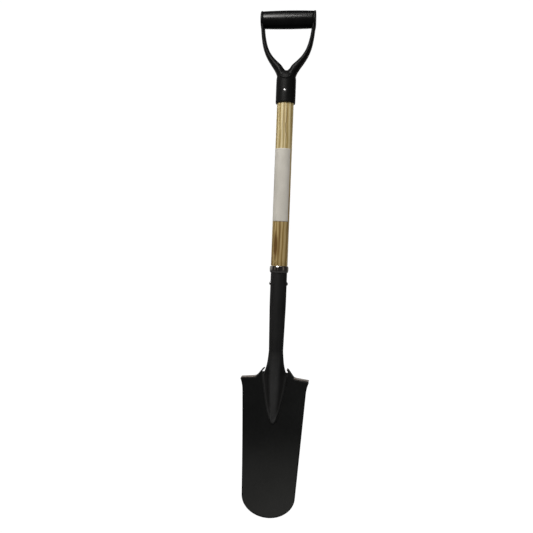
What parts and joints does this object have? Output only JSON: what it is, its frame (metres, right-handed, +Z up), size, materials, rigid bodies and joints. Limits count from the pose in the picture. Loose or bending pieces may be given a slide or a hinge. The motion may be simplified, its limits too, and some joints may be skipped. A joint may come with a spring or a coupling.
{
  "type": "garden spade",
  "caption": "Digging spade with a dished steel blade and foot treads, steel socket, wooden shaft and D-shaped plastic handgrip.",
  "frame": {"origin": "middle of the footprint, at the height of the blade's tip", "axes": "+Z up along the shaft to the grip, -Y the dished front of the blade, +X to the right of someone looking at that front"},
  "size_m": [0.15, 0.0803, 1.0844],
  "materials": {
    "blade_steel": "satin black paint",
    "socket_steel": "satin black paint",
    "weld_paint": "satin black paint over a bead",
    "shaft_wood": "clear satin varnish",
    "ferrule_chrome": "polished",
    "rivet_steel": "dull bright",
    "label_paper": "matt",
    "yoke_plastic": "satin moulded",
    "bar_plastic": "semi-gloss",
    "rod_steel": "dull"
  },
  "bodies": {
    "root": {"blade": "blade_steel", "socket": "socket_steel", "tongue_weld": "weld_paint", "shaft": "shaft_wood", "ferrule": "ferrule_chrome", "socket_rivet": "rivet_steel", "label": "label_paper", "grip_yoke": "yoke_plastic", "grip_rivet": "rivet_steel", "grip_bar": "bar_plastic", "grip_bar_rod": "rod_steel"}
  },
  "joints": []
}
